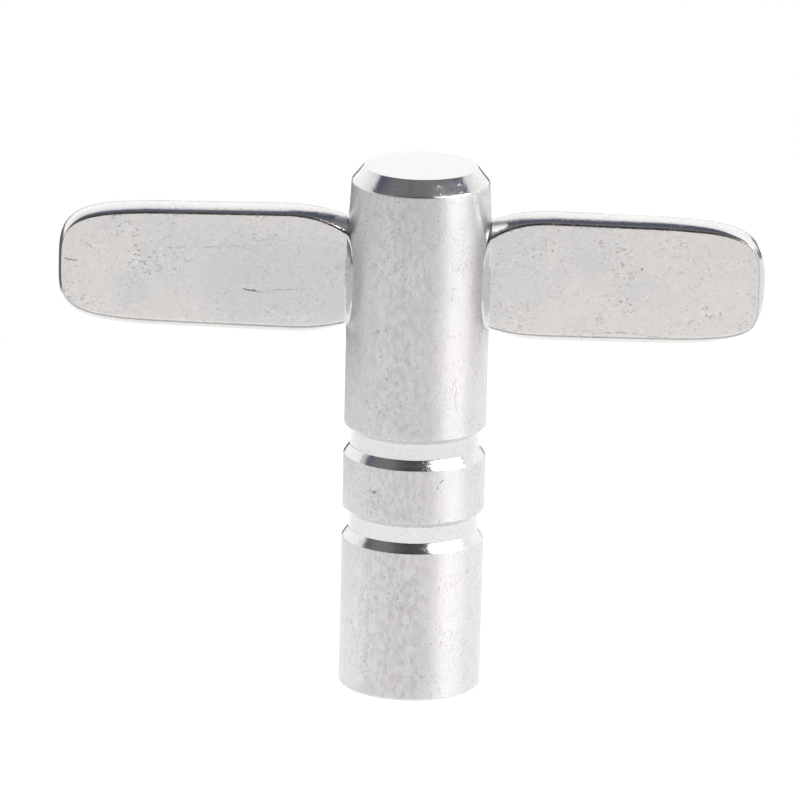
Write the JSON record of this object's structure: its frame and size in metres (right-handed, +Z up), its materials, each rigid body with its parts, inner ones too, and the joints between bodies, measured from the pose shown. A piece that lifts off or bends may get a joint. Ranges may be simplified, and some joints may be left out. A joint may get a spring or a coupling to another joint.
{
  "type": "radiator bleed key",
  "caption": "T-handle key with a round grooved body, a square socket in its foot for a bleed valve, and a pressed flat cross-bar handle.",
  "frame": {"origin": "centre of the square socket's mouth, in the plane of the foot's end face, on the body's axis", "axes": "+Z up the body's axis from the socket to the flat top, X along the handle bar, Y square to the wings' flat faces"},
  "size_m": [0.0496, 0.01, 0.0377],
  "materials": {
    "plated_body": "bright plated steel, satin turned surface with fine pits and scratches",
    "plated_bar": "bright plated steel, satin pressed faces with dull patches, pits and hairline marks"
  },
  "bodies": {
    "root": {"key_body": "plated_body", "handle_bar": "plated_bar"}
  },
  "joints": []
}
